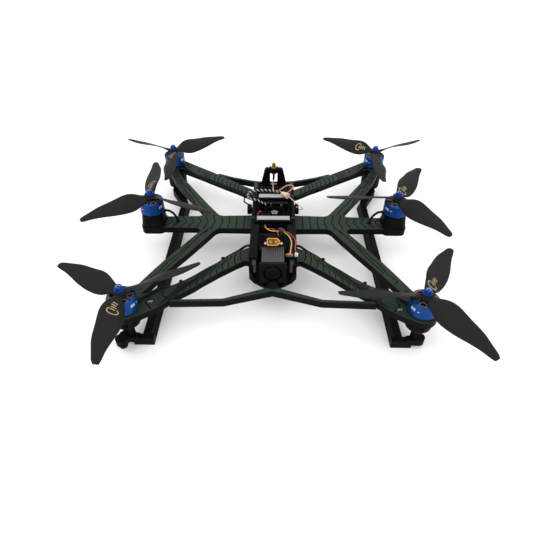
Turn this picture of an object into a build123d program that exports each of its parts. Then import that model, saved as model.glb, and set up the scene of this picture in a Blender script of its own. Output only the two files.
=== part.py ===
from build123d import *
import math
import os

# Six-rotor first-person-view drone, nose towards -Y.
# Origin: centre of the flat belly, midway between the six rotors.  +Z up, millimetres.
os.makedirs("parts", exist_ok=True)

# ---- driving dimensions ----------------------------------------------------------------
ROTOR_X = 176.5            # rotor axes, left and right of the centre plane
ROTOR_Y = 177.0            # front and rear rotor axes, fore and aft of the middle pair
PROP_R = 101.6             # eight-inch propeller
PROP_Z = 38.0              # mid height of a front or rear propeller hub
MID_RAISE = 18.0           # the middle pair stands this much higher, so the discs can overlap
ARM_TOP = 12.5
SKIN_T = 0.8
ARM_BOTTOM = 2.5
FLOOR_T = 2.5
HULL_HALF = 31.0
WALL = 2.6
CAGE_TOP = 34.5
PAD_TOP = 38.0
GROUND = -42.0
BELL_R = 17.25
BELL_H = 17.5
SHAFT_R = 2.5
STACK_PITCH = 30.5
CAMERA_PIVOT = (0.0, -108.9, 19.5)
CAMERA_TILT = 3.0          # nose-up angle at rest
PIVOT_R = 1.5
RUNNING = 0.05             # radial running clearance
TAIL_TOP = 40.4
RAIL_END = 54.0            # the cage's side walls stop here; low green strips run on to the tail
CUP_DEPTH = 16.0
SMA_Y = 113.6
FAN_AT = (1.5, 10.5)
FAN_Z = 19.0
PANEL_SCREW = 10.5

ROTORS = {
    # name: (side, row, turn of the first blade in degrees, spin seen from above, +1 anticlockwise)
    "front_left": (-1, -1, 31.8, -1),
    "front_right": (1, -1, 58.0, 1),
    "mid_left": (-1, 0, 97.6, -1),
    "mid_right": (1, 0, 58.9, 1),
    "rear_left": (-1, 1, 33.5, 1),
    "rear_right": (1, 1, 28.6, -1),
}
# propeller blade: radius, leading half width, trailing half width (plan view), thickness
BLADE = [
    (5.0, 4.6, 4.6, 4.4),
    (14.0, 7.8, 7.4, 3.6),
    (26.0, 11.2, 10.4, 2.9),
    (42.0, 12.9, 12.3, 2.4),
    (60.0, 12.4, 10.6, 2.0),
    (76.0, 10.8, 7.0, 1.7),
    (90.0, 7.2, 4.8, 1.4),
    (96.5, 5.4, 4.1, 1.2),
    (100.8, 2.6, 2.9, 1.0),
]
BLADE_PITCH = 138.0        # advance per turn that sets the twist

# frame plan, right-hand half
MID_ARM = [(20, -16.5), (80, -15.5), (165, -14.5), (176.5, -14.5), (176.5, 14.5), (165, 12.8),
           (80, 15.5), (20, 18)]
FRONT_ARM = [(20, -54), (45, -67), (60, -79), (70, -92), (85, -105), (105, -125), (125, -139),
             (142, -148), (165, -155), (176, -165), (170, -192), (158, -189), (140, -177),
             (115, -153), (100, -141), (90, -131), (70, -113), (50, -97), (20, -76)]
REAR_ARM = [(20, 82), (50, 103), (70, 120), (90, 136), (105, 147), (120, 158), (140, 172.5),
            (160, 188), (178, 180), (165, 162), (140, 146), (120, 132.5), (100, 118.5),
            (80, 104.5), (60, 91.5), (45, 80.5), (20, 63)]
FRONT_STRUT = [(99, -8), (110, -30), (133, -68), (147, -92), (160, -117), (173, -143), (181, -160),
               (168, -164), (158, -145), (143, -118), (130, -96), (115, -72), (96, -40), (78, -8)]
REAR_STRUT = [(98, 8), (112, 33), (131, 62), (150, 90), (166, 116), (178, 143), (184, 160),
              (172, 164), (160, 137), (151, 122), (135, 97), (121, 75), (100, 43), (76, 8)]
HULL_PLAN = [(HULL_HALF, -111), (25, -119), (9.3, -130), (-9.3, -130), (-25, -119),
             (-HULL_HALF, -111), (-HULL_HALF, 92), (-26.5, 92), (-26.5, 110), (26.5, 110), (26.5, 92),
             (HULL_HALF, 92)]
HULL_INNER = [(HULL_HALF - WALL, -110), (23.5, -117), (8.4, -127.4), (-8.4, -127.4), (-23.5, -117),
              (WALL - HULL_HALF, -110), (WALL - HULL_HALF, 89.4), (-23.9, 89.4), (-23.9, 107.4),
              (23.9, 107.4), (23.9, 89.4), (HULL_HALF - WALL, 89.4)]
ARM_CORNERS = [(31, -15.9, 5), (31, 17.5, 5), (82.5, -15.5, 12), (102.8, -15.3, 7), (80.9, 15.5, 12),
               (102.4, 14.8, 7), (31, -60.5, 5), (31, -83.5, 5), (31, 70.5, 5)]
REGIONS = {
    "mid": [(31, -22), (210, -22), (210, 22), (31, 22)],
    "front_strut": [(60, -22), (210, -22), (210, -138), (140, -138), (60, -30)],
    "rear_strut": [(60, 22), (210, 22), (210, 136), (146, 136), (60, 30)],
    "front": [(31, -35), (60, -30), (140, -138), (210, -138), (210, -220), (31, -220)],
    "rear": [(31, 35), (60, 30), (146, 136), (210, 136), (210, 220), (31, 220)],
}


def mirrored(points, side):
    return [(side * x, y) for x, y in points]


def flat(points):
    return make_face(Polyline(*points, close=True))


def prism(points, low, high):
    return Pos(0, 0, low) * extrude(flat(points), high - low)


def block(x0, x1, y0, y1, z0, z1):
    return Pos((x0 + x1) / 2, (y0 + y1) / 2, (z0 + z1) / 2) * Box(x1 - x0, y1 - y0, z1 - z0)


def rod(x, y, low, high, radius):
    return Pos(x, y, low) * Cylinder(radius, high - low, align=(Align.CENTER, Align.CENTER, Align.MIN))


def ring(x, y, low, high, outer, inner):
    return rod(x, y, low, high, outer) - rod(x, y, low - 1, high + 1, inner)


def cross_rod(x0, x1, y, z, radius):
    return Pos((x0 + x1) / 2, y, z) * Rot(0, 90, 0) * Cylinder(radius, x1 - x0)


def group(solids):
    return Compound(children=[s for shape in solids for s in shape.solids()])


def save(shape, node):
    export_step(shape, f"parts/{node}.step")
    print(node, len(shape.solids()), round(shape.volume), "mm3")


def rotor_at(name):
    side, row, turn, spin = ROTORS[name]
    lift = MID_RAISE if row == 0 else 0.0
    return side * ROTOR_X, row * ROTOR_Y, lift


# ---- frame -----------------------------------------------------------------------------
def frame_plan():
    plan = flat(HULL_PLAN)
    for side in (1, -1):
        for bar in (MID_ARM, FRONT_ARM, REAR_ARM, FRONT_STRUT, REAR_STRUT):
            plan = plan + flat(mirrored(bar, side))
        plan = plan + Pos(side * ROTOR_X, -ROTOR_Y) * Circle(19.5)
        plan = plan + Pos(side * ROTOR_X, ROTOR_Y) * Circle(19.5)
        plan = plan + Pos(side * ROTOR_X, 0) * RectangleRounded(35, 36, 9)
    return plan


def frame_plate(plan, low, high):
    plate = Pos(0, 0, low) * extrude(plan, high - low)
    for size in sorted({corner[2] for corner in ARM_CORNERS}):
        upright = plate.edges().filter_by(Axis.Z)
        picked = []
        for x, y, radius in ARM_CORNERS:
            for side in (1, -1):
                if radius == size:
                    picked.append(min(upright, key=lambda e: math.hypot((e @ 0).X - side * x, (e @ 0).Y - y)))
        plate = fillet(picked, size)
    return plate


def arm(core, region, side):
    return core & prism(mirrored(REGIONS[region], side), 0, ARM_TOP)


def lead_hole(side):
    return rod(side * 142, 0, ARM_BOTTOM - 1, ARM_TOP + 1, 3.4)


def frame_arms(core):
    for side, word in ((-1, "left"), (1, "right")):
        save(arm(core, "mid", side) - lead_hole(side), f"arm_mid_{word}")
        save(arm(core, "front", side), f"arm_front_{word}")
        save(arm(core, "rear", side), f"arm_rear_{word}")
    struts = [arm(core, region, side) for region in ("front_strut", "rear_strut") for side in (-1, 1)]
    save(group(struts), "arm_struts")


def frame_skin(plan):
    skin = frame_plate(plan, ARM_TOP - SKIN_T, ARM_TOP)
    skin = skin - block(-HULL_HALF, HULL_HALF, -140, RAIL_END, 0, 20)
    skin = skin - block(4 - HULL_HALF, HULL_HALF - 4, RAIL_END - 1, 140, 0, 20)
    skin = skin - block(-HULL_HALF, HULL_HALF, 92, 140, 0, 20)
    for side in (1, -1):
        skin = skin - lead_hole(side)
    save(group([skin]), "frame_skin")


def brace(points, keep_out):
    solid = prism(points, ARM_BOTTOM, ARM_TOP)
    return solid - keep_out


def frame_braces(plan):
    keep_out = Pos(0, 0, -20) * extrude(plan, 60)
    front = [(4, -129.9), (8.5, -141.2), (61, -160.2), (122, -162.6), (126, -166.4), (60, -164.2), (0, -145.9),
             (-60, -164.2), (-126, -166.4), (-122, -162.6), (-61, -160.2), (-8.5, -141.2), (-4, -129.9)]
    save(brace(front, keep_out), "brace_front")
    rear = [(26.6, 92.1), (26.6, 114), (-26.6, 114), (-26.6, 92.1), (-33, 90), (-33, 115), (-70, 127), (-97, 138),
            (-95, 144), (-70, 132), (-35, 120.5), (-22, 118.5), (22, 118.5), (35, 120.5), (70, 132),
            (95, 144), (97, 138), (70, 127), (33, 115), (33, 90)]
    save(brace(rear, keep_out) - block(-5.2, 5.2, 112, 120, 0, 10.5), "brace_rear")


def motor_pod(side):
    low = Pos(side * ROTOR_X, 0) * RectangleRounded(34, 34, 9)
    high = Pos(side * ROTOR_X, 0, MID_RAISE) * RectangleRounded(31, 31, 12)
    pod = Pos(0, 0, ARM_TOP) * loft([low.face(), high.face()])
    return pod - ring_slot(side)


def ring_slot(side):
    return rod(side * ROTOR_X, 0, ARM_TOP + 2, ARM_TOP + MID_RAISE + 1, 6)


# ---- hull ------------------------------------------------------------------------------
def side_cut(points):
    cut = extrude(flat(points), 80)
    return Pos(-40, 0, 0) * Rot(0, 0, 90) * Rot(90, 0, 0) * cut


def hull_tray():
    tray = prism(HULL_PLAN, 0, ARM_TOP) - prism(HULL_INNER, FLOOR_T, ARM_TOP + 1)
    tray = tray - side_cut([(-111, ARM_TOP + 1), (-111, ARM_TOP), (-119, 3.0), (-140, 3.0), (-140, ARM_TOP + 1)])
    for x in (-1, 1):
        for y in (-1, 1):
            at = (x * STACK_PITCH / 2, -52 + y * STACK_PITCH / 2)
            tray = tray + rod(*at, FLOOR_T, 6, 3.2)
            tray = tray - rod(*at, -1, 7, 1.6)
    return tray - block(-40, 40, RAIL_END, 92, ARM_TOP - SKIN_T, ARM_TOP + 1)


def cage_rail(side):
    wall = block(27, HULL_HALF, -110, RAIL_END, ARM_TOP, CAGE_TOP)
    deck = block(20, 27, -110, -36, CAGE_TOP - 3, CAGE_TOP)
    slope = side_cut([(-112, CAGE_TOP + 1), (-107.5, CAGE_TOP + 1), (-112, CAGE_TOP - 12)])
    rail = wall + deck
    for y0, y1 in ((-98, -72), (-52, -28), (24, 46)):
        rail = rail - block(26, 32, y0, y1, ARM_TOP + 6, CAGE_TOP - 7)
    rail = rail - slope
    if side < 0:
        rail = mirror(rail, Plane.YZ)
    return rail


def cage_rails():
    save(group([cage_rail(-1), cage_rail(1)]), "cage_rails")


def crossbars():
    front = block(-27, 27, -29.5, -17, CAGE_TOP - 4.5, CAGE_TOP)
    rear = block(-27, 27, 29, 40.5, CAGE_TOP - 4.5, CAGE_TOP)
    save(group([front, rear]), "cage_crossbars")


def battery_pads():
    pads = []
    for y0, half in ((-28.2, 23.0), (29.6, 22.0)):
        pad = block(-half, half, y0, y0 + 9.0, CAGE_TOP, PAD_TOP)
        pads.append(fillet(pad.edges().filter_by(Axis.Z), 1.2))
    save(group(pads), "battery_pads")


def tail_bracket():
    outline = [(-22, FLOOR_T), (22, FLOOR_T), (20.8, 12.5), (15.0, 38.0), (12.5, TAIL_TOP),
               (-12.5, TAIL_TOP), (-15.0, 38.0), (-20.8, 12.5)]
    body = Pos(0, 116.5, 0) * Rot(90, 0, 0) * extrude(flat(outline), 6.5)
    body = body + block(-7, 7, 116.5, 119.5, TAIL_TOP - 6, TAIL_TOP)
    body = body - block(-25, 25, 114, 125, 0, ARM_TOP)
    body = body - block(-5.9, 5.9, 105, 116.6, 8.0, 32.5)
    return body - rod(0, SMA_Y, 25, 50, 3.25)


def antenna_connector():
    nut = Pos(0, SMA_Y, TAIL_TOP) * extrude(RegularPolygon(4.6, 6), 2.2)
    barrel = rod(0, SMA_Y, TAIL_TOP - 11.0, TAIL_TOP + 8.5, 3.175)
    low = Pos(0, SMA_Y, TAIL_TOP - 10.6) * extrude(RegularPolygon(4.0, 6), 2.6)
    tip = rod(0, SMA_Y, TAIL_TOP + 8.5, TAIL_TOP + 9.6, 1.6)
    return nut + barrel + low + tip


# ---- camera ----------------------------------------------------------------------------
def tilted(shape):
    return Pos(*CAMERA_PIVOT) * Rot(-CAMERA_TILT, 0, 0) * shape


def camera_body():
    bezel = Pos(0, -14.0, 1.6) * Box(34.2, 3.4, 32.0)
    bezel = fillet(bezel.edges().filter_by(Axis.Y), 1.5)
    body = Pos(0, 0.2, 0.7) * Box(29.0, 25.0, 25.0)
    barrel = Pos(0, -15.2, 1.6) * Rot(90, 0, 0) * Cylinder(11.9, 3.4)
    shell = bezel + body - barrel
    pins = cross_rod(-25.2, -14.8, 0, 0, PIVOT_R) + cross_rod(14.8, 25.2, 0, 0, PIVOT_R)
    return tilted(shell + pins)


def camera_lens():
    outer = Pos(0, -14.6, 1.6) * Rot(90, 0, 0) * Cylinder(9.6, 2.2)
    face = Pos(0, -15.8, 1.6) * Rot(90, 0, 0) * Cylinder(8.2, 1.6)
    return tilted(outer - face)


def camera_window():
    return tilted(Pos(0, -15.25, 1.6) * Rot(90, 0, 0) * Cylinder(8.15, 0.5))


def heat_sink():
    base = Pos(0, 3.75, 14.2) * Box(28.4, 32.1, 2.0)
    sink = base
    for i in range(13):
        sink = sink + Pos(-13.5 + i * 2.25, 3.75, 16.4) * Box(1.0, 32.1, 2.8)
    return tilted(sink)


def camera_brackets():
    plates = []
    y, z = CAMERA_PIVOT[1:]
    for side in (-1, 1):
        x0, x1 = sorted((side * 21.7, side * 25.3))
        plate = block(x0, x1, -115.5, -98.5, 21.5, 31.4) + block(x0, x1, -112.4, -98.5, 13.0, 22.0)
        plate = plate - cross_rod(x0 - 1, x1 + 1, y, z, PIVOT_R + RUNNING)
        x0, x1 = sorted((side * 25.3, side * 27.0))
        plates.append(plate + block(x0, x1, -110, -98.5, 24.0, 31.0))
    save(group(plates), "camera_brackets")


# ---- power connector ---------------------------------------------------------------------
def facing(shape):
    return Pos(0.5, -86.0, 42.6) * Rot(53, 0, 0) * shape


def socket_outline(grow):
    w, h = 8.5 + grow, 5.0 + grow
    return flat([(-w, -h + 1.2), (-w + 1.2, -h), (w - 3.2, -h), (w, -h + 3.2), (w, h - 3.2),
                 (w - 3.2, h), (-w + 1.2, h), (-w, h - 1.2)])


def power_socket():
    body = extrude(socket_outline(0), -14)
    body = body - extrude(socket_outline(-1.4), -3)
    for x in (-3.9, 3.5):
        body = body - Pos(x, 0, 1) * extrude(Circle(2.1), -16)
    return facing(body)


def power_pins():
    pins = []
    for x in (-3.9, 3.5):
        pin = Pos(x, 0, -1.6) * extrude(Circle(2.1) - Circle(0.6), -12.4)
        pins.append(facing(pin))
    save(group(pins), "power_pins")


def power_panel():
    plate = Pos(0, 0, -5.5) * extrude(RectangleRounded(32.4, 13.5, 1.5), -3)
    plate = plate - Pos(0, 0, -4) * extrude(socket_outline(0.0), -6)
    for x in (-PANEL_SCREW, PANEL_SCREW):
        plate = plate - Pos(x, -1.9, -4) * extrude(Circle(1.0), -6)
    wings = []
    for side in (-1, 1):
        x0, x1 = sorted((side * 15.6, side * 19.2))
        wings.append(Pos((x0 + x1) / 2, 0, -7.0) * Box(x1 - x0, 9.0, 3.0))
    return facing(plate + wings[0] + wings[1])


# ---- electronics ---------------------------------------------------------------------------
def circuit_board(z):
    board = Pos(0, -52, z) * extrude(RectangleRounded(38, 40, 3), 1.6)
    for x in (-1, 1):
        for y in (-1, 1):
            board = board - rod(x * STACK_PITCH / 2, -52 + y * STACK_PITCH / 2, z - 1, z + 3, 1.6)
    chips = [(-6, 4, 7, 7, 1.2), (7, -6, 5, 5, 1.0), (-9, -11, 9, 4, 2.4), (9, 11, 9, 4, 2.4), (8, 3, 4, 6, 0.9)]
    for x, y, w, d, h in chips:
        board = board + Pos(x, -52 + y, z + 1.6 + h / 2) * Box(w, d, h)
    return board


def standoffs():
    posts = []
    for x in (-1, 1):
        for y in (-1, 1):
            at = (x * STACK_PITCH / 2, -52 + y * STACK_PITCH / 2)
            posts.append(ring(*at, 7.6, 14.0, 2.5, 1.5))
    for x, y, z in ((-3.5, 27.8, 28.6), (11.8, 27.8, 25.2), (-20, 60, 20), (20, 60, 20)):
        low = 16.5 if y > 40 else FLOOR_T
        posts.append(rod(x, y, low, z, 1.9))
    save(group(posts), "standoffs")


def transmitter():
    case = block(-22, 22, 43, 96, 4.5, 16.5)
    case = fillet(case.edges().filter_by(Axis.Z), 2)
    for i in range(9):
        case = case - block(-18 + i * 4.2, -16 + i * 4.2, 66, 92, 15, 17)
    return case


def fan_frame():
    x, y = FAN_AT
    shell = Pos(x, y, FAN_Z - 4) * extrude(RectangleRounded(30, 30, 2.5), 9)
    shell = shell - rod(x, y, FAN_Z - 2.6, FAN_Z + 6, 13.4)
    for dx in (-12, 12):
        for dy in (-12, 12):
            shell = shell - rod(x + dx, y + dy, FAN_Z - 6, FAN_Z + 6, 1.4)
    post = rod(x, y, FAN_Z - 3, FAN_Z + 1.5, 1.0)
    feet = block(-27, x - 15, y - 9, y + 9, FAN_Z - 4, FAN_Z - 1)
    feet = feet + block(x + 15, 27, y - 9, y + 9, FAN_Z - 4, FAN_Z - 1)
    return shell + post + feet


def fan_rotor():
    x, y = FAN_AT
    hub = rod(x, y, FAN_Z - 1.8, FAN_Z + 4.2, 5.4)
    blades = []
    for i in range(7):
        vane = Pos(9.0, 0, 0) * Rot(32, 0, 0) * Box(7.6, 1.0, 6.0)
        blades.append(Pos(x, y, FAN_Z + 1.2) * Rot(0, 0, i * 360 / 7) * vane)
    for vane in blades:
        hub = hub + vane
    return hub - rod(x, y, FAN_Z - 4, FAN_Z + 1.6, 1.0 + RUNNING)


def side_modules():
    left = block(-39.6, -33.0, 19.5, 34.0, 12.9, 22.0)
    right = block(33.0, 38.5, 20.5, 40.0, 12.9, 20.0)
    left = fillet(left.edges().filter_by(Axis.Z), 2.5)
    right = fillet(right.edges().filter_by(Axis.Z), 2.0)
    foot_left = block(-33.0, -31.0, 20.5, 31.0, 13.5, 18.0)
    foot_right = block(31.0, 33.0, 22.0, 38.0, 13.5, 18.0)
    save(group([left + foot_left, right + foot_right]), "side_modules")


# ---- motors and propellers ----------------------------------------------------------------
def lead_heading(name):
    side, row, turn, spin = ROTORS[name]
    return -side * (1.0 if row == 0 else 0.8), -row * 0.6


def motor_base(name):
    x, y, lift = rotor_at(name)
    low = ARM_TOP + lift
    base = rod(x, y, low, low + 2.4, 14.0) + rod(x, y, low + 2.4, low + 4.6, 6.0)
    dx, dy = lead_heading(name)
    outlet = Rot(0, 0, math.degrees(math.atan2(dy, dx))) * block(10, 19, -3.2, 3.2, 0, 2.4)
    base = base + Pos(x, y, low) * outlet
    return base - rod(x, y, low - 1, low + 6, SHAFT_R + 0.45)


def stator(name):
    x, y, lift = rotor_at(name)
    low = ARM_TOP + lift + 4.6
    core = ring(x, y, low, low + 9.6, 6.4, 3.2)
    for i in range(12):
        angle = math.radians(i * 30)
        tooth = Pos(9.7, 0, 4.8) * Box(7.4, 3.1, 9.2)
        core = core + Pos(x, y, low) * Rot(0, 0, math.degrees(angle)) * tooth
    return core


def bell(name):
    x, y, lift = rotor_at(name)
    low = ARM_TOP + lift + 2.8
    top = low + BELL_H
    can = rod(x, y, low, top, BELL_R) - rod(x, y, low - 1, top - 2.6, 15.4)
    can = chamfer(can.edges().filter_by(GeomType.CIRCLE).sort_by(Axis.Z)[-1], 1.2)
    for i in range(6):
        slot = flat([(6.6, -1.6), (14.2, -5.4), (14.2, 5.4), (6.6, 1.6)])
        slot = Pos(x, y, top - 4) * Rot(0, 0, i * 60) * extrude(slot, 6)
        can = can - slot
    hub_top = PROP_Z + lift - 4.0
    can = can + rod(x, y, top - 2.6, hub_top, 6.0)
    return can + rod(x, y, ARM_TOP + lift + 0.6, PROP_Z + lift + 9.4, SHAFT_R)


def nut(name):
    x, y, lift = rotor_at(name)
    low = PROP_Z + lift + 4.0
    solid = rod(x, y, low, low + 1.6, 5.6)
    solid = solid + Pos(x, y, low + 1.6) * extrude(RegularPolygon(4.62, 6), 3.6)
    solid = solid + rod(x, y, low + 5.2, low + 6.2, 3.9)
    return solid - rod(x, y, low - 1, low + 7, SHAFT_R)


def blade_section(radius, lead, trail, thick, spin):
    slope = min(BLADE_PITCH / (2 * math.pi * radius), 0.72, 0.25 + 0.018 * radius)
    points = []
    for share, sign in ((0, 0), (0.15, 1), (0.5, 1), (0.85, 1), (1, 0), (0.85, -1), (0.5, -1), (0.15, -1)):
        across = -lead + share * (lead + trail)
        bow = 1 - (2 * share - 1) ** 2
        lift = -across * slope + 0.05 * (lead + trail) * bow + sign * thick / 2 * (0.35 + 0.65 * bow)
        points.append((radius, -spin * across, lift))
    if spin > 0:
        points = points[::-1]
    return make_face(Polyline(*points, close=True))


def propeller(name):
    side, row, turn, spin = ROTORS[name]
    x, y, lift = rotor_at(name)
    sections = [blade_section(r, lead, trail, thick, spin) for r, lead, trail, thick in BLADE]
    blade = loft(sections)
    hub = rod(0, 0, -4, 4, 7.4)
    prop = hub
    for i in range(3):
        prop = prop + Rot(0, 0, turn + 120 * i) * blade
    prop = prop & rod(0, 0, -14, 14, PROP_R)
    prop = prop - rod(0, 0, -20, 20, SHAFT_R) - rod(0, 0, -20, -4, 6.1)
    return Pos(x, y, PROP_Z + lift) * prop


# ---- landing gear -----------------------------------------------------------------------------
def motor_cup(name):
    x, y, lift = rotor_at(name)
    if y < 0:
        cup = Pos(x, y, ARM_BOTTOM) * Rot(180, 0, 0) * extrude(Circle(16.8), CUP_DEPTH, taper=4)
        return fillet(cup.edges().filter_by(GeomType.CIRCLE).sort_by(Axis.Z)[0], 6)
    cup = Pos(x, y, ARM_BOTTOM) * Rot(180, 0, 0) * extrude(Circle(17.0), 31.5, taper=2)
    return fillet(cup.edges().filter_by(GeomType.CIRCLE).sort_by(Axis.Z)[0], 3)


def skid(side):
    section = [(147, GROUND), (163, GROUND), (161, GROUND + 12), (151, GROUND + 12)]
    rail = Pos(0, 120, 0) * Rot(90, 0, 0) * extrude(flat(section), 309)
    foot = block(147, 172, -189, -180, GROUND, GROUND + 11)
    heel = [(151, 119), (163, 119), (184, 158), (184, 176), (166, 176), (160, 150)]
    heel = prism(heel, GROUND, GROUND + 13)
    lobe = rod(181, -184, GROUND + 6, GROUND + 16, 6.5)
    toe = prism([(165, -188.6), (179.4, -189.4), (179.4, -179.2), (165, -181)], GROUND + 5, GROUND + 14)
    post = rod(175.8, -181.2, GROUND + 8, ARM_BOTTOM - CUP_DEPTH, 5.8)
    solid = rail + foot + heel + lobe + toe + post
    if side < 0:
        solid = mirror(solid, Plane.YZ)
    return solid


def corner_post():
    post = rod(-182, -197.0, GROUND + 7.5, ARM_BOTTOM - 20, 5)
    collar = rod(-182, -197.0, ARM_BOTTOM - 31, ARM_BOTTOM - 22, 7.5)
    arm_block = block(-187, -177, -196, -186, ARM_BOTTOM - 32, ARM_BOTTOM - 24)
    return post + collar + arm_block - skid(-1)


# ---- cables -------------------------------------------------------------------------------------
def tube(name, points, radius):
    runs = [math.dist(a, b) for a, b in zip(points, points[1:])]
    radii = []
    for i in range(1, len(points) - 1):
        before = Vector(*points[i]) - Vector(*points[i - 1])
        after = Vector(*points[i + 1]) - Vector(*points[i])
        half = math.radians(before.get_angle(after)) / 2
        radii.append(0.45 * min(runs[i - 1], runs[i]) / math.tan(half))
    if radii:
        path = FilletPolyline(*points, radius=radii)
    else:
        path = Line(*points)
    solid = sweep(Plane(path @ 0, z_dir=path % 0) * Circle(radius), path=path)
    share = solid.volume / (math.pi * radius ** 2 * path.length)
    print(name, "length", round(path.length, 1), "least radius",
          round(min(radii), 1) if radii else "straight", "volume share", round(share, 3))
    return solid


LEAD_FRONT = [(161.1, -165.5, 14.5), (155.9, -161.2, 14.5), (149.5, -153.2, 14.5), (141.5, -145.2, 14.4),
              (133.5, -141.5, 11.9), (126.1, -137.1, 9.9), (106.4, -123.3, 9.9), (86.5, -103.4, 9.9),
              (71.6, -90.5, 9.9), (61.6, -77.5, 9.9), (46.4, -65.0, 10.6), (41.0, -61.0, 12.8),
              (36.4, -59.0, 14.6), (HULL_HALF, -59.0, 14.6)]
LEAD_REAR = [(161.1, 165.5, 14.5), (155.9, 161.2, 14.5), (151.0, 154.0, 14.5), (144.2, 146.0, 14.3),
             (136.2, 140.4, 11.8), (121.2, 130.7, 9.9), (101.3, 116.7, 9.9), (81.2, 102.7, 9.9),
             (61.2, 89.7, 9.9), (46.6, 78.4, 10.6), (41.2, 72.6, 12.8), (36.6, 69.2, 14.6),
             (HULL_HALF, 69.2, 14.6)]
LEAD_MID = [(157.3, 0, 32.4), (152.4, 0.1, 31.6), (147.6, 0, 27.8), (144.0, 0.1, 21.8), (142.2, 0, 15.0),
            (142.0, 0.1, 8.0)]


def motor_leads():
    leads = []
    for side in (-1, 1):
        for points in (LEAD_FRONT, LEAD_REAR, LEAD_MID):
            leads.append(tube("motor lead", [(side * x, y, z) for x, y, z in points], 1.7))
    save(group(leads), "motor_leads")


def lead_clips():
    clips = []
    for side in (-1, 1):
        for route, i in ((LEAD_FRONT, 5), (LEAD_FRONT, 8), (LEAD_REAR, 5), (LEAD_REAR, 7)):
            x0, y0, z0 = route[i]
            x1, y1, z1 = route[i + 1]
            outward = -1 if y0 < 0 else 1
            y_near, y_far = sorted((-2.15 * outward, 2.8 * outward))
            clip = block(-1.9, 1.9, y_near, y_far, -2.9, 2.9) - Rot(0, 90, 0) * Cylinder(1.8, 20)
            turn = math.degrees(math.atan2(y1 - y0, x1 - x0))
            clip = Pos((x0 + x1) / 2, (y0 + y1) / 2, 9.9) * Rot(0, 0, turn) * clip
            clips.append(clip if side > 0 else mirror(clip, Plane.YZ))
    return clips


def cables():
    braid = [(-9.5, 28.5, 24.5), (-15.0, 25.8, 28.0), (-21.5, 23.2, 34.6), (-29.0, 22.8, 37.8),
             (-36.0, 26.5, 36.4), (-39.2, 33.5, 35.8), (-38.2, 41.0, 37.2), (-32.0, 46.0, 37.6),
             (-23.0, 47.8, 38.0), (-13.0, 46.6, 39.0), (-4.0, 43.8, 40.4), (4.5, 39.4, 41.8),
             (11.0, 36.0, 42.0)]
    strand = [(-30.6, 48.9, 37.0), (-36.2, 46.6, 36.4), (-40.6, 41.6, 34.8), (-43.8, 36.4, 31.8),
              (-45.4, 33.4, 27.8), (-42.4, 31.6, 25.2), (-37.6, 30.2, 23.4)]
    save(group([tube("braided lead", braid, 1.8), tube("outer strand", strand, 1.2)]), "braided_lead")
    sleeve = Pos(12.2, 33.7, 42.0) * Rot(0, 0, -40) * Rot(0, 90, 0)
    cone = Solid.make_cone(2.4, 4.6, 12.0)
    save(sleeve * cone, "antenna_sleeve")
    wire = [(21.5, 25.9, 42.0), (26.0, 21.6, 40.4), (31.5, 17.8, 37.2), (37.0, 14.6, 33.6),
            (42.0, 13.4, 29.6), (44.4, 16.2, 25.6), (42.6, 20.6, 22.4), (39.4, 23.4, 19.4)]
    save(tube("antenna wire", wire, 0.6), "antenna_wire")
    coax = [(0.0, 113.6, 29.35), (0.0, 113.6, 22.4), (-1.0, 109.6, 17.6), (-1.6, 102.8, 18.8),
            (-1.4, 94.0, 21.4), (-0.9, 84.0, 24.2), (-0.9, 73.4, 26.4), (-0.2, 63.4, 27.4),
            (3.4, 55.6, 30.0), (9.0, 53.4, 34.6), (15.0, 57.0, 38.0), (21.0, 62.0, 38.6), (28.0, 64.2, 38.0),
            (31.6, 58.8, 37.4), (27.6, 53.0, 36.8), (22.0, 50.8, 33.0), (18.0, 51.2, 27.6),
            (16.6, 52.2, 22.0), (16.4, 52.6, 16.55)]
    save(tube("coax lead", coax, 0.95), "coax_lead")
    yellow = [(14.9, -44.4, 28.4), (16.2, -50.2, 30.6), (17.5, -55.8, 33.4), (18.9, -60.4, 35.9),
              (22.0, -66.6, 36.1), (24.3, -74.8, 35.8), (24.2, -84.2, 35.7), (22.6, -94.2, 35.8),
              (22.0, -103.4, 36.0)]
    red = [(16.9, -44.2, 29.0), (18.2, -49.4, 31.8), (18.6, -54.6, 35.4), (20.8, -59.4, 37.3),
           (25.2, -64.6, 37.4), (29.2, -71.4, 36.4), (29.8, -79.8, 36.0), (28.8, -88.6, 35.8),
           (29.2, -96.0, 36.0), (29.8, -101.9, 36.2)]
    loop = [(-11.2, -21.0, 24.0), (-11.6, -27.8, 26.0), (-10.4, -34.6, 27.4), (-6.2, -40.2, 27.6),
            (0.2, -42.8, 27.4), (7.6, -42.6, 27.6)]
    save(tube("yellow lead", yellow, 0.75), "yellow_lead")
    save(tube("red lead", red, 0.65), "red_lead")
    save(tube("yellow loop", loop, 0.75), "yellow_loop")


def wire_plugs():
    inline = Pos(11.6, -41.2, 27.8) * Rot(0, 0, -42) * Box(9.4, 6.4, 4.2)
    front = block(18.2, 26.2, -107.2, -103.5, CAGE_TOP, CAGE_TOP + 3)
    side = block(27.8, 32.0, -106.0, -102.0, CAGE_TOP, CAGE_TOP + 3.6)
    save(group([inline, front, side]), "wire_plugs")


def screw(x, y, z, radius=2.75):
    head = rod(x, y, z, z + 1.6, radius)
    return head - Pos(x, y, z + 0.6) * extrude(RegularPolygon(1.1, 6), 2)


def fasteners():
    screws = [screw(x, y, CAGE_TOP) for x in (-29, 29) for y in (-22, 35)]
    for x in (-1, 1):
        for y in (-1, 1):
            at = (x * STACK_PITCH / 2, -52 + y * STACK_PITCH / 2)
            screws.append(screw(*at, 15.6))
    for x in (-PANEL_SCREW, PANEL_SCREW):
        screws.append(facing(screw(x, -1.9, -5.5, 1.7)))
    save(group(screws), "fasteners")


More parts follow.
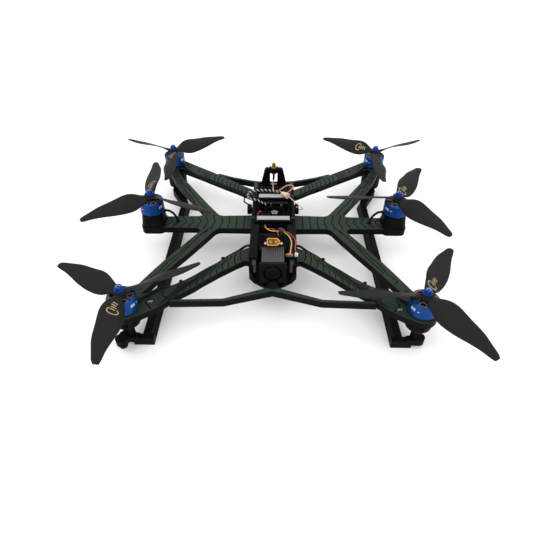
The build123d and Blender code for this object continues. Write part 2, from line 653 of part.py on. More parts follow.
if __name__ == "__main__":
    outline = frame_plan()
    frame_arms(frame_plate(outline, ARM_BOTTOM, ARM_TOP - SKIN_T))
    frame_skin(outline)
    frame_braces(outline)
    save(group([motor_pod(-1), motor_pod(1)]), "motor_pods")
    save(hull_tray(), "hull_tray")
    cage_rails()
    crossbars()
    battery_pads()
    save(tail_bracket(), "tail_bracket")
    save(antenna_connector(), "antenna_connector")
    save(camera_body(), "camera_body")
    save(camera_lens(), "camera_lens_ring")
    save(camera_window(), "camera_window")
    save(heat_sink(), "camera_heat_sink")
    camera_brackets()
    save(power_socket(), "power_socket")
    power_pins()
    save(power_panel(), "power_panel")
    save(group([circuit_board(6.0), circuit_board(14.0)]), "flight_boards")
    standoffs()
    save(transmitter(), "video_transmitter")
    save(fan_frame(), "fan_frame")
    save(fan_rotor(), "fan_rotor")
    side_modules()
    save(group([motor_base(n) for n in ROTORS]), "motor_bases")
    save(group([stator(n) for n in ROTORS]), "motor_stators")
    for rotor in ROTORS:
        save(group([bell(rotor), nut(rotor)]), f"bell_{rotor}")
        save(propeller(rotor), f"propeller_{rotor}")
    save(group([motor_cup(n) for n in ROTORS if "mid" not in n]), "motor_cups")
    save(skid(-1), "skid_left")
    save(skid(1), "skid_right")
    save(corner_post(), "corner_post")
    motor_leads()
    save(group(lead_clips()), "lead_clips")
    cables()
    wire_plugs()
    fasteners()
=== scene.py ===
import bpy
import math
from mathutils import Matrix, Vector


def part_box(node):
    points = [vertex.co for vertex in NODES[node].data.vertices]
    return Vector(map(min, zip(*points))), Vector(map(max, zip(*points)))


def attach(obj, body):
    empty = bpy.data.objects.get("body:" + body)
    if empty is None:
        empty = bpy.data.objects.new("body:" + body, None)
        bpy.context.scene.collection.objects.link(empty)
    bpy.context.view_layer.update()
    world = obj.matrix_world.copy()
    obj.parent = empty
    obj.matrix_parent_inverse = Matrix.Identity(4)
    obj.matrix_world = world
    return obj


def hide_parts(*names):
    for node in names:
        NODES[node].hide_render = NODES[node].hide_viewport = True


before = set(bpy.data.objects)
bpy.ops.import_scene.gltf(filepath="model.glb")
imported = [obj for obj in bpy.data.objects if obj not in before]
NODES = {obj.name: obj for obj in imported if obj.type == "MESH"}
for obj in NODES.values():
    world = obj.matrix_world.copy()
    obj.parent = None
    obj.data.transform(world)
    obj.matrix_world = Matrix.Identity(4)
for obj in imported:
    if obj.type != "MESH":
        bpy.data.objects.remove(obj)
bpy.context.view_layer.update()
MM = 0.001                              # sizes and places are in mm, and this turns them into metres

ROTOR_X, ROTOR_Y = 176.5, 177.0         # the rotor axes, from the middle of the frame
LOW_HUB, HIGH_HUB = 38.0, 56.0          # the middle of a propeller hub; the middle pair sits higher
ROTORS = {
    # name: (x, y, z of the propeller hub, turn of the marked blade in degrees)
    "front_left": (-ROTOR_X, -ROTOR_Y, LOW_HUB, 271.8),
    "front_right": (ROTOR_X, -ROTOR_Y, LOW_HUB, 58.0),
    "mid_left": (-ROTOR_X, 0.0, HIGH_HUB, 97.6),
    "mid_right": (ROTOR_X, 0.0, HIGH_HUB, 58.9),
    "rear_left": (-ROTOR_X, ROTOR_Y, LOW_HUB, 273.5),
    "rear_right": (ROTOR_X, ROTOR_Y, LOW_HUB, 148.6),
}
REVERSED = ("front_right", "mid_right", "rear_left")    # propellers whose print reads the other way
PRINT_FLIP = 49.5                       # such a print is mirrored about half this radius
PRINT_PROUD, PRINT_SUNK = 0.06, 0.15    # a print's top and underside, from the blade's face
RING_AT, RING_ALONG, RING_ACROSS = 31.5, 4.2, 5.4       # the print's ring: place along the blade, half sizes
SKIN_TOP, SKIN_T = 12.5, 0.8
LINE_PROUD = 0.045                      # how far the drawn grooves stand above the skin
LINE_SUNK = 0.2
HUB_ABOVE_PAD = LOW_HUB - SKIN_TOP      # a hub's middle above the face its motor stands on
BELL_TOP = 2.8 + 17.5                   # the bell's top above that face
STATOR_LOW = 4.6                        # the stator's foot above that face
TEETH = 12
WIRE_LAYERS = 5
LAYER_IN, LAYER_STEP, LAYER_WIDE = 7.0, 1.15, 0.95      # radius of the inner layer, pitch and thickness
BELL_R = 17.25
CUP_R = 16.8                            # the cups under the front motors
SHAFT_END = 9.4                         # the shaft's end above the hub's middle
POD_STRAIGHT_X, POD_STRAIGHT_Y = 8.55, 9.05     # half the straight sides of a middle pod's foot
POD_CORNER = 9.05
PAD_TOP = 37.98
SOCKET_X, SOCKET_Y, SOCKET_Z = 0.5, -86.0, 42.6     # the middle of the battery socket's mouth
SOCKET_TILT = 37.0
PIVOT_Y, PIVOT_Z = -108.9, 19.5         # the camera's tilt axis
CAMERA_TILT = 3.0
LENS_RISE = 1.6                         # the lens axis above the tilt axis
POCKET_FRONT, POCKET_FLOOR, POCKET_R = -15.65, -13.3, 11.95
FLOOR_Z = -42.1
PHOTO_EYE = (0.00019, -0.5356, 0.3947)  # metres
PHOTO_YAW, PHOTO_PITCH, PHOTO_ROLL = -1.12, 41.27, -0.16


# ---- materials -------------------------------------------------------------------------
FINE_SHARE = 0.45       # the fine noise's share in a material's pattern, the broad noise has the rest
BROAD_TO_FINE = 22      # how many times larger the broad noise is


def material(name, color, rough=0.5, metal=0.0, specular=0.5, vary=0.15, grain=900.0, bump=0.15,
             rough_vary=0.12, edge=None, stretch=(1, 1, 1)):
    """Fine and broad noise vary the colour, the polish and the relief; edge is (lighter edge colour,
    radius), a painted highlight with patchy wear along rounded edges.
    """
    mat = bpy.data.materials.new(name)
    mat.use_nodes = True
    nodes = mat.node_tree.nodes
    link = mat.node_tree.links.new
    shader = nodes["Principled BSDF"]
    shader.inputs["Metallic"].default_value = metal
    shader.inputs["Specular IOR Level"].default_value = specular
    where = nodes.new("ShaderNodeTexCoord")
    scale = nodes.new("ShaderNodeMapping")
    scale.inputs["Scale"].default_value = stretch
    link(where.outputs["Object"], scale.inputs["Vector"])
    fine = nodes.new("ShaderNodeTexNoise")
    fine.inputs["Scale"].default_value = grain
    fine.inputs["Detail"].default_value = 4
    link(scale.outputs["Vector"], fine.inputs["Vector"])
    broad = nodes.new("ShaderNodeTexNoise")
    broad.inputs["Scale"].default_value = grain / BROAD_TO_FINE
    broad.inputs["Detail"].default_value = 3
    link(scale.outputs["Vector"], broad.inputs["Vector"])
    tone = nodes.new("ShaderNodeValToRGB")
    tone.color_ramp.elements[0].position = 0.32
    tone.color_ramp.elements[1].position = 0.68
    tone.color_ramp.elements[0].color = [c * (1 - vary) for c in color] + [1]
    tone.color_ramp.elements[1].color = [c * (1 + vary) for c in color] + [1]
    mixed = nodes.new("ShaderNodeMath")
    mixed.operation = "MULTIPLY_ADD"
    mixed.inputs[1].default_value = FINE_SHARE
    link(fine.outputs["Fac"], mixed.inputs[0])
    half = nodes.new("ShaderNodeMath")
    half.operation = "MULTIPLY"
    half.inputs[1].default_value = 1 - FINE_SHARE
    link(broad.outputs["Fac"], half.inputs[0])
    link(half.outputs[0], mixed.inputs[2])
    link(mixed.outputs[0], tone.inputs["Fac"])
    colour = tone.outputs["Color"]
    polish = nodes.new("ShaderNodeMapRange")
    polish.inputs["To Min"].default_value = rough - rough_vary
    polish.inputs["To Max"].default_value = rough + rough_vary
    link(mixed.outputs[0], polish.inputs["Value"])
    link(polish.outputs["Result"], shader.inputs["Roughness"])
    relief = nodes.new("ShaderNodeBump")
    relief.inputs["Strength"].default_value = bump
    relief.inputs["Distance"].default_value = 0.0002
    link(fine.outputs["Fac"], relief.inputs["Height"])
    # painted highlight with patchy wear: a lighter colour mixed in near rounded edges
    if edge:
        highlight_and_wear_colour, radius = edge
        soft = nodes.new("ShaderNodeBevel")
        soft.samples = 4
        soft.inputs["Radius"].default_value = radius
        link(soft.outputs["Normal"], relief.inputs["Normal"])
        true = nodes.new("ShaderNodeNewGeometry")
        dot = nodes.new("ShaderNodeVectorMath")
        dot.operation = "DOT_PRODUCT"
        link(soft.outputs["Normal"], dot.inputs[0])
        link(true.outputs["Normal"], dot.inputs[1])
        near_edge = nodes.new("ShaderNodeMapRange")
        near_edge.inputs["From Min"].default_value = 0.98
        near_edge.inputs["From Max"].default_value = 0.80
        link(dot.outputs["Value"], near_edge.inputs["Value"])
        highlight_and_wear = nodes.new("ShaderNodeMath")
        highlight_and_wear.operation = "MULTIPLY"
        link(near_edge.outputs["Result"], highlight_and_wear.inputs[0])
        link(mixed.outputs[0], highlight_and_wear.inputs[1])
        blend = nodes.new("ShaderNodeMix")
        blend.data_type = "RGBA"
        link(highlight_and_wear.outputs[0], blend.inputs["Factor"])
        link(colour, blend.inputs["A"])
        blend.inputs["B"].default_value = list(highlight_and_wear_colour) + [1]
        colour = blend.outputs["Result"]
    link(colour, shader.inputs["Base Color"])
    link(relief.outputs["Normal"], shader.inputs["Normal"])
    return mat


def layered(mat, pitch, strength):
    """Fine printed layers: a shallow wave up the height of the part."""
    nodes = mat.node_tree.nodes
    link = mat.node_tree.links.new
    relief = nodes["Bump"]
    where = nodes["Texture Coordinate"]
    wave = nodes.new("ShaderNodeTexWave")
    wave.bands_direction = "Z"
    wave.inputs["Scale"].default_value = 1 / pitch * 0.314
    wave.inputs["Distortion"].default_value = 0.4
    link(where.outputs["Object"], wave.inputs["Vector"])
    second = nodes.new("ShaderNodeBump")
    second.inputs["Strength"].default_value = strength
    second.inputs["Distance"].default_value = 0.0001
    link(wave.outputs["Fac"], second.inputs["Height"])
    link(relief.outputs["Normal"], second.inputs["Normal"])
    link(second.outputs["Normal"], nodes["Principled BSDF"].inputs["Normal"])
    return mat


def speckled(name, dark, light, cells, share, rough=0.6):
    """Woven sleeve: dark and light threads in small cells."""
    mat = bpy.data.materials.new(name)
    mat.use_nodes = True
    nodes = mat.node_tree.nodes
    link = mat.node_tree.links.new
    shader = nodes["Principled BSDF"]
    shader.inputs["Roughness"].default_value = rough
    shader.inputs["Specular IOR Level"].default_value = 0.12
    where = nodes.new("ShaderNodeTexCoord")
    cell = nodes.new("ShaderNodeTexVoronoi")
    cell.inputs["Scale"].default_value = cells
    link(where.outputs["Object"], cell.inputs["Vector"])
    pick = nodes.new("ShaderNodeSeparateColor")
    link(cell.outputs["Color"], pick.inputs["Color"])
    tone = nodes.new("ShaderNodeValToRGB")
    tone.color_ramp.interpolation = "CONSTANT"
    tone.color_ramp.elements[0].color = list(dark) + [1]
    tone.color_ramp.elements[1].color = list(light) + [1]
    tone.color_ramp.elements[1].position = share
    link(pick.outputs["Red"], tone.inputs["Fac"])
    link(tone.outputs["Color"], shader.inputs["Base Color"])
    relief = nodes.new("ShaderNodeBump")
    relief.inputs["Strength"].default_value = 0.5
    relief.inputs["Distance"].default_value = 0.0003
    link(cell.outputs["Distance"], relief.inputs["Height"])
    link(relief.outputs["Normal"], shader.inputs["Normal"])
    return mat


BLACK = material("satin_black", (0.0030, 0.0030, 0.0031), rough=0.5, specular=0.05, vary=0.3, grain=1400,
                 bump=0.12, edge=((0.022, 0.022, 0.023), 0.0006))
PRINTED = layered(material("printed_black", (0.0024, 0.0024, 0.0025), rough=0.55, specular=0.04, vary=0.3,
                           grain=1200, bump=0.1, edge=((0.018, 0.018, 0.019), 0.0005)), 0.0004, 0.25)
GREEN = material("sage_skin", (0.0235, 0.0345, 0.0248), rough=0.55, specular=0.05, vary=0.14, grain=700,
                 bump=0.10, edge=((0.04, 0.055, 0.042), 0.0003))
# painted shade: a darker green for the shaded tab of the front brace
PAINTED_SHADE_GREEN = material("painted_shade_green", (0.0040, 0.0085, 0.0052), rough=0.55, specular=0.04, vary=0.2,
                      grain=700, bump=0.10)
# black for the skin's grooves, and painted shade in the lens pocket, shaft sockets and cup slots
GROOVE_AND_SHADE = material("groove_and_painted_shade", (0.0012, 0.0012, 0.0012), rough=0.8, specular=0.0, grain=1500)
FOAM = material("grey_foam", (0.30, 0.315, 0.31), rough=0.85, specular=0.2, vary=0.12, grain=1600, bump=0.6)
BLADE = material("smoke_blade", (0.0120, 0.0120, 0.0123), rough=0.5, specular=0.07, vary=0.10, grain=500,
                 bump=0.04, edge=((0.03, 0.03, 0.031), 0.0004))
BLUE = material("blue_anodised", (0.003, 0.044, 0.200), rough=0.38, metal=0.4, specular=0.12, vary=0.10,
                grain=1800, bump=0.05, stretch=(1, 1, 5), edge=((0.03, 0.12, 0.38), 0.0004))
NUT_BLUE = material("nut_blue", (0.002, 0.045, 0.26), rough=0.3, metal=0.5, specular=0.2, vary=0.08,
                    grain=1500, bump=0.04, edge=((0.06, 0.18, 0.55), 0.0004))
STEEL = material("shaft_steel", (0.42, 0.42, 0.43), rough=0.3, metal=0.9, vary=0.1, grain=1500, bump=0.06)
DARK_STEEL = material("dark_steel", (0.010, 0.010, 0.011), rough=0.42, metal=0.6, specular=0.1, vary=0.2,
                      grain=1500, bump=0.08, edge=((0.08, 0.08, 0.08), 0.0003))
SILVER = material("silver_screw", (0.5, 0.51, 0.52), rough=0.3, metal=0.85, vary=0.12, grain=1500, bump=0.08)
COPPER = material("enamelled_copper", (0.11, 0.045, 0.012), rough=0.4, metal=0.4, specular=0.2, vary=0.3,
                  grain=2600, bump=0.2)
CORE = material("stator_core", (0.03, 0.022, 0.018), rough=0.5, metal=0.4, vary=0.2, grain=1500,
                stretch=(1, 1, 6))
GOLD = material("gold_print", (0.36, 0.27, 0.11), rough=0.42, metal=0.35, vary=0.12, grain=1300, bump=0.05)
TRIM = material("gold_chamfer", (0.45, 0.26, 0.035), rough=0.35, metal=0.5, specular=0.2, vary=0.15,
                grain=1500, bump=0.05)
BRASS = material("gold_plated_brass", (0.42, 0.29, 0.085), rough=0.28, metal=0.9, vary=0.18, grain=1500,
                 bump=0.08, edge=((0.7, 0.55, 0.25), 0.0003))
WHITE = material("white_mark", (0.55, 0.57, 0.57), rough=0.6, vary=0.1, grain=1500)
CAMERA = material("camera_black", (0.0034, 0.0034, 0.0035), rough=0.45, specular=0.06, vary=0.2, grain=2200,
                  bump=0.10, edge=((0.022, 0.022, 0.023), 0.0005))
LENS_RING = material("lens_ring", (0.0042, 0.0042, 0.0043), rough=0.35, specular=0.08, vary=0.1, grain=1800,
                     bump=0.03, edge=((0.02, 0.02, 0.021), 0.0004))
GLASS = material("lens_window", (0.0048, 0.0048, 0.005), rough=0.3, specular=0.08, vary=0.10, grain=300,
                 bump=0.01, rough_vary=0.04)
ALU = material("blasted_aluminium", (0.075, 0.075, 0.074), rough=0.45, metal=0.4, specular=0.2, vary=0.16,
               grain=1500, bump=0.12, stretch=(6, 1, 1), edge=((0.2, 0.2, 0.2), 0.0003))
BRACKET = material("bracket_grey", (0.042, 0.042, 0.048), rough=0.45, metal=0.4, specular=0.2, vary=0.15,
                   grain=1400, bump=0.1, edge=((0.14, 0.14, 0.15), 0.0004))
AMBER = material("amber_nylon", (0.60, 0.26, 0.028), rough=0.34, specular=0.35, vary=0.10, grain=500,
                 bump=0.05, edge=((0.85, 0.55, 0.2), 0.0005))
BOARD = material("board_mask", (0.003, 0.0045, 0.0035), rough=0.4, specular=0.08, vary=0.35, grain=900,
                 bump=0.15)
CASE = material("transmitter_case", (0.0035, 0.0035, 0.0036), rough=0.5, specular=0.06, vary=0.2, grain=1500,
                bump=0.1, edge=((0.025, 0.025, 0.026), 0.0004))
FAN_GREY = material("fan_grey", (0.20, 0.20, 0.205), rough=0.4, vary=0.12, grain=900, bump=0.06,
                    edge=((0.4, 0.4, 0.4), 0.0003))
LEAD = speckled("black_sleeve", (0.002, 0.002, 0.002), (0.009, 0.009, 0.0095), 1800, 0.55)
PALE_THREAD = speckled("pale_thread", (0.30, 0.30, 0.29), (0.55, 0.55, 0.53), 2600, 0.45)
BEIGE = material("beige_jacket", (0.55, 0.44, 0.30), rough=0.5, vary=0.12, grain=1200, bump=0.08)
PINK = material("pink_jacket", (0.46, 0.19, 0.14), rough=0.45, vary=0.15, grain=1200, bump=0.06)
YELLOW = material("yellow_jacket", (0.55, 0.42, 0.07), rough=0.42, vary=0.12, grain=1200, bump=0.05)
RED = material("red_jacket", (0.42, 0.045, 0.03), rough=0.42, vary=0.12, grain=1200, bump=0.05)
BLUE_WIRE = material("blue_jacket", (0.045, 0.10, 0.32), rough=0.42, vary=0.12, grain=1200, bump=0.05)
ORANGE = material("orange_jacket", (0.55, 0.22, 0.03), rough=0.42, vary=0.12, grain=1200, bump=0.05)
GREY_PLUG = material("grey_plug", (0.028, 0.028, 0.029), rough=0.45, specular=0.2, vary=0.2, grain=1500,
                     bump=0.1, edge=((0.09, 0.09, 0.09), 0.0003))
# painted shade: a darker amber for the inside of the battery socket's recess
CAVITY_SHADE = material("amber_shade", (0.20, 0.060, 0.010), rough=0.5, specular=0.2, vary=0.15, grain=700,
                  bump=0.05)
PALE = material("pale_plug", (0.46, 0.46, 0.43), rough=0.45, vary=0.10, grain=900, bump=0.06,
                edge=((0.7, 0.7, 0.68), 0.0003))
NAVY = material("navy_jacket", (0.006, 0.013, 0.045), rough=0.42, specular=0.2, vary=0.12, grain=1200,
                bump=0.05)
CLIP = material("clip_black", (0.0018, 0.0018, 0.0018), rough=0.5, specular=0.05, vary=0.2, grain=1500,
                bump=0.08)


def paint(node, mat):
    """The whole node gets that material alone."""
    obj = NODES[node]
    obj.data.materials.clear()
    obj.data.materials.append(mat)
    return obj


def paint_near_axis(node, x, y, radius, mat):
    """The faces within that radius of a vertical axis get another material."""
    obj = NODES[node]
    obj.data.materials.append(mat)
    last = len(obj.data.materials) - 1
    for face in obj.data.polygons:
        far = max(math.hypot(obj.data.vertices[v].co.x - x * MM, obj.data.vertices[v].co.y - y * MM)
                  for v in face.vertices)
        if far < radius * MM:
            face.material_index = last


def paint_above(node, z, mat):
    """The faces wholly above that height get another material."""
    obj = NODES[node]
    obj.data.materials.append(mat)
    last = len(obj.data.materials) - 1
    for face in obj.data.polygons:
        if min(obj.data.vertices[v].co.z for v in face.vertices) > z * MM:
            face.material_index = last


def paint_where(node, test, mat):
    """The faces whose centre passes the test get another material."""
    obj = NODES[node]
    obj.data.materials.append(mat)
    last = len(obj.data.materials) - 1
    for face in obj.data.polygons:
        if test(face.center.x / MM, face.center.y / MM, face.center.z / MM):
            face.material_index = last


def in_cavity(x, y, z):
    """True inside the battery socket's recess, whose mouth looks up and forward."""
    c, s = math.cos(math.radians(SOCKET_TILT)), math.sin(math.radians(SOCKET_TILT))
    along = (y - SOCKET_Y) * s + (z - SOCKET_Z) * c
    depth = (y - SOCKET_Y) * c - (z - SOCKET_Z) * s
    return 0.05 < depth < 3.2 and abs(x - SOCKET_X) < 7.3 and abs(along) < 3.8


def in_lens_pocket(x, y, z):
    """True on the walls and floor of the round pocket behind the camera's lens ring."""
    c, s = math.cos(math.radians(CAMERA_TILT)), math.sin(math.radians(CAMERA_TILT))
    ahead = (y - PIVOT_Y) * c - (z - PIVOT_Z) * s
    height = (y - PIVOT_Y) * s + (z - PIVOT_Z) * c
    return POCKET_FRONT < ahead < POCKET_FLOOR and math.hypot(x, height - LENS_RISE) < POCKET_R


def paint_tops(node, z, mat):
    """The level faces at that height or above get another material."""
    obj = NODES[node]
    obj.data.materials.append(mat)
    last = len(obj.data.materials) - 1
    for face in obj.data.polygons:
        if face.normal.z > 0.9 and face.center.z > (z - 0.1) * MM:
            face.material_index = last


for node in NODES:
    if node.startswith(("arm_", "brace_", "motor_pods", "motor_cups", "skid_", "corner_post")):
        paint(node, BLACK)
for node in ("hull_tray", "cage_rails", "cage_crossbars", "tail_bracket", "side_modules", "power_panel",
             "fan_frame"):
    paint(node, PRINTED)
for node, mat in (("frame_skin", GREEN), ("antenna_connector", BRASS), ("standoffs", BRASS),
                  ("power_pins", BRASS), ("camera_body", CAMERA), ("camera_lens_ring", LENS_RING),
                  ("camera_window", GLASS), ("camera_heat_sink", ALU), ("camera_brackets", BRACKET),
                  ("power_socket", AMBER), ("flight_boards", BOARD), ("video_transmitter", CASE),
                  ("fan_rotor", CAMERA), ("motor_bases", CAMERA), ("motor_stators", CORE),
                  ("lead_clips", CLIP), ("wire_plugs", PALE), ("fasteners", DARK_STEEL),
                  ("motor_leads", LEAD), ("antenna_sleeve", BEIGE)):
    paint(node, mat)
# the screws beside the battery socket are silver
paint_where("fasteners", lambda x, y, z: -95 < y < -75 and z > 30, SILVER)
# painted shade: the recess of the battery socket gets the darker amber
paint_where("power_socket", in_cavity, CAVITY_SHADE)
# painted shade: the walls and floor of the lens pocket are darker than the camera body
paint_where("camera_body", in_lens_pocket, GROOVE_AND_SHADE)
# of the wire plugs only the forward right one stays pale
paint_where("wire_plugs", lambda x, y, z: y > -60, GREY_PLUG)
paint_where("wire_plugs", lambda x, y, z: y < -60 and x < 26.9, GREY_PLUG)
paint_tops("brace_front", SKIN_TOP, GREEN)
paint_tops("brace_rear", SKIN_TOP, GREEN)
for name, (x, y, z, _) in ROTORS.items():
    paint("propeller_" + name, BLADE)
    paint("bell_" + name, BLUE)
    paint_above("bell_" + name, z + 3.9, NUT_BLUE)
    paint_near_axis("bell_" + name, x, y, 2.7, STEEL)


# ---- mesh helpers ----------------------------------------------------------------------
def piece(name, verts, faces, mat, body, smooth=False):
    """One mesh object from points, riding a body of the frame."""
    mesh = bpy.data.meshes.new(name)
    mesh.from_pydata([(x * MM, y * MM, z * MM) for x, y, z in verts], [], faces)
    mesh.materials.append(mat)
    mesh.update()
    if smooth:
        mesh.shade_smooth()
    obj = bpy.data.objects.new(name, mesh)
    bpy.context.scene.collection.objects.link(obj)
    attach(obj, body)
    return obj


class Builder:
    """Collects closed boxes, ribbons and rods, then makes one mesh of them."""

    def __init__(self):
        self.verts = []
        self.faces = []

    def hexahedron(self, low, high):
        """Two rings of the same count of points, joined into a closed solid."""
        start = len(self.verts)
        count = len(low)
        self.verts.extend(low)
        self.verts.extend(high)
        self.faces.append(tuple(range(start + count - 1, start - 1, -1)))
        self.faces.append(tuple(range(start + count, start + 2 * count)))
        for i in range(count):
            j = (i + 1) % count
            self.faces.append((start + i, start + j, start + count + j, start + count + i))

    def bar(self, a, b, width, z0, z1):
        """A flat bar between two plan points."""
        dx, dy = b[0] - a[0], b[1] - a[1]
        long = math.hypot(dx, dy) or 1.0
        nx, ny = -dy / long * width / 2, dx / long * width / 2
        near = [(a[0] - nx, a[1] - ny), (b[0] - nx, b[1] - ny)]
        corners = near + [(b[0] + nx, b[1] + ny), (a[0] + nx, a[1] + ny)]
        self.hexahedron([(x, y, z0) for x, y in corners], [(x, y, z1) for x, y in corners])

    def make(self, name, mat, body, smooth=False):
        return piece(name, self.verts, self.faces, mat, body, smooth)


# ---- grooves in the green skin -----------------------------------------------------------
# Plan points of one half. The other half is its mirror image, and a line stops where the skin does.
FRONT_LINES = [
    [(44.5, -68), (44.5, -80), (41.0, -90)],
    [(50.5, -72), (52.0, -85), (49.5, -96)],
    [(55.5, -78), (57.5, -86), (60.0, -91), (58.0, -103)],
    [(61.0, -80), (62.0, -90), (67.0, -98), (66.5, -103), (65.0, -111)],
    [(64.0, -86), (68.5, -98), (74.0, -108), (72.5, -117)],
    [(70.5, -94), (81.5, -116), (80.0, -124)],
    [(74.0, -97), (89.5, -124), (88.0, -132)],
    [(77.5, -99), (97.0, -132), (95.0, -139)],
    [(80.5, -101), (104.0, -138), (102.5, -146)],
    [(84.5, -104), (111.5, -146), (110.0, -153)],
    [(89.0, -107), (118.0, -153), (116.5, -158)],
    [(103.0, -128), (122.0, -160), (121.0, -163)],
    [(106.5, -130), (128.0, -166)],
    [(110.0, -132), (133.5, -171)],
    [(113.5, -133), (138.0, -174)],
    [(119.5, -136), (118.5, -140), (120.5, -145)],
    [(136.0, -146), (136.0, -154), (130.5, -160)],
    [(149.0, -160), (152.5, -169), (144.0, -179), (146.5, -184)],
]
REAR_LINES = [
    [(43.5, 99), (45.5, 88), (42.5, 76)],
    [(50.0, 104), (52.5, 94), (50.0, 82)],
    [(56.0, 110), (59.5, 100), (57.5, 87)],
    [(62.0, 114), (66.0, 104), (63.5, 92)],
    [(68.0, 119), (73.0, 108), (70.5, 96)],
    [(75.0, 125), (80.0, 113), (77.0, 101)],
    [(82.0, 131), (88.0, 118), (85.0, 106)],
    [(89.0, 137), (95.5, 124), (92.5, 112)],
    [(96.0, 142), (102.5, 130), (99.0, 117)],
    [(104.0, 148), (112.0, 134), (109.5, 124)],
    [(108.0, 151), (116.0, 137), (113.5, 127)],
    [(112.0, 154), (120.0, 140), (117.5, 130)],
    [(117.0, 158), (124.0, 144)],
    [(127.0, 165), (133.0, 155), (129.0, 148)],
    [(149.0, 181), (154.0, 171), (146.0, 161)],
]
STRUT_LINES = [
    [(96, -20), (103.5, -32), (117, -58), (124.5, -76), (132, -90), (143.5, -110.5), (139.5, -113.5)],
    [(106, -22), (118, -46), (121, -60), (130.5, -78), (139, -90), (147, -108)],
    [(146, -108.5), (158.5, -127), (153.5, -131)],
    [(163, -143), (169.5, -147)],
    [(91, -14), (99.5, -28)],
]
STRUT_REAR_LINES = [
    [(96, 20), (103, 32), (117, 52), (126, 68), (134, 82), (145.5, 101), (140.5, 104)],
    [(106, 22), (119, 42), (127, 58), (136, 72), (148, 92)],
    [(147, 98), (160, 119), (154.5, 123)],
    [(164, 135), (170, 131)],
]
BRACE_MARKS = [(18, -147.8), (33, -153.0), (48, -158.3), (61, -162.2), (70.0, -162.5), (77.5, -162.9),
               (85, -163.3), (92, -163.6), (100, -163.9), (108, -164.2), (115, -164.5)]
CHEVRONS, CHEVRON_START, CHEVRON_STEP = 12, 43.5, 10.75     # along each middle arm


def on_skin(x, y, reach=0.35):
    """True where the green skin covers that plan point and a little round it."""
    skin = NODES["frame_skin"]
    for dx, dy in ((reach, 0), (-reach, 0), (0, reach), (0, -reach)):
        start = Vector(((x + dx) * MM, (y + dy) * MM, 0.02))
        hit, *_ = skin.ray_cast(start, Vector((0, 0, -1)), distance=0.012)
        if not hit:
            return False
    return True


def groove(build, points, width=1.2):
    """Thin dark bars along a line, wherever the skin is under it."""
    for a, b in zip(points, points[1:]):
        long = math.dist(a, b)
        steps = max(1, round(long / 0.5))
        run = []
        for i in range(steps + 1):
            x = a[0] + (b[0] - a[0]) * i / steps
            y = a[1] + (b[1] - a[1]) * i / steps
            if on_skin(x, y):
                run.append((x, y))
                continue
            if len(run) > 1:
                build.bar(run[0], run[-1], width, SKIN_TOP - LINE_SUNK, SKIN_TOP + LINE_PROUD)
            run = []
        if len(run) > 1:
            build.bar(run[0], run[-1], width, SKIN_TOP - LINE_SUNK, SKIN_TOP + LINE_PROUD)


grooves = Builder()
for side in (-1, 1):
    for lines in (FRONT_LINES, REAR_LINES, STRUT_LINES, STRUT_REAR_LINES):
        for line in lines:
            groove(grooves, [(side * x, y) for x, y in line])
    for i in range(CHEVRONS):
        apex = CHEVRON_START + CHEVRON_STEP * i
        depth = min(7.5, 0.8 * i)
        far = apex + depth
        mid = apex + depth * 0.25
        groove(grooves, [(side * far, 19), (side * far, 11), (side * mid, 3.5), (side * apex, 0),
                         (side * mid, -3.5), (side * far, -11), (side * far, -19)])
for side in (-1, 1):
    for x, y in BRACE_MARKS:
        grooves.bar((side * x, y + 0.6), (side * (x + 2.4), y - 0.9), 0.8,
                    SKIN_TOP - LINE_SUNK, SKIN_TOP + 0.06)
grooves.make("skin_grooves", GROOVE_AND_SHADE, "airframe")

# small generic marks beside the front motors, in place of numerals
marks = Builder()
for x, y in ((-148.5, -166.5), (150.5, -175.5)):
    for i in range(3):
        ax, ay = x - 2.4 + 2.1 * i, y - 1.2
        bx, by = ax + 1.6, ay + 2.9
        marks.bar((ax, ay), (bx, by), 0.7, SKIN_TOP - 0.1, SKIN_TOP + 0.05)
marks.make("arm_marks", WHITE, "airframe")


# ---- windings, window trims and marks on the motors, prints on the blades ------------------------
def windings(name, x, y, z):
    """Copper loops round each of the twelve stator teeth, as stacked rounded bands."""
    build = Builder()
    low = z - HUB_ABOVE_PAD + STATOR_LOW
    for i in range(TEETH):
        angle = math.radians(360 / TEETH * i)
        c, s = math.cos(angle), math.sin(angle)
        for layer in range(WIRE_LAYERS):
            r0 = LAYER_IN + layer * LAYER_STEP
            r1 = r0 + LAYER_WIDE
            grow = 0.72 if layer % 2 else 0.6
            w = 1.55 + grow * (0.75 + 0.06 * layer)
            h0, h1 = low - 0.4 - grow * 0.4, low + 9.2 + grow * 0.6
            ring = [(-w + 0.5, h0), (w - 0.5, h0), (w, h0 + 0.5), (w, h1 - 0.5), (w - 0.5, h1),
                    (-w + 0.5, h1), (-w, h1 - 0.5), (-w, h0 + 0.5)]
            inner = [(x + r0 * c - t * s, y + r0 * s + t * c, h) for t, h in ring]
            outer = [(x + r1 * c - t * s, y + r1 * s + t * c, h) for t, h in ring]
            build.hexahedron(outer, inner)
    return build.make("windings_" + name, COPPER, "airframe")


def window_trims(name, x, y, z):
    """Thin bright chamfers round the bell's six windows."""
    build = Builder()
    top = z - HUB_ABOVE_PAD + BELL_TOP
    outline = [(6.9, -1.8), (13.9, -5.0), (13.9, 5.0), (6.9, 1.8)]
    for k in range(6):
        turn = math.radians(60 * k)
        c, s = math.cos(turn), math.sin(turn)
        for i, (px, py) in enumerate(outline):
            qx, qy = outline[(i + 1) % 4]
            a = (x + px * c - py * s, y + px * s + py * c)
            b = (x + qx * c - qy * s, y + qx * s + qy * c)
            build.bar(a, b, 0.55, top - 1.0, top + 0.12)
    return build.make("bell_trims_" + name, TRIM, "rotor_" + name)


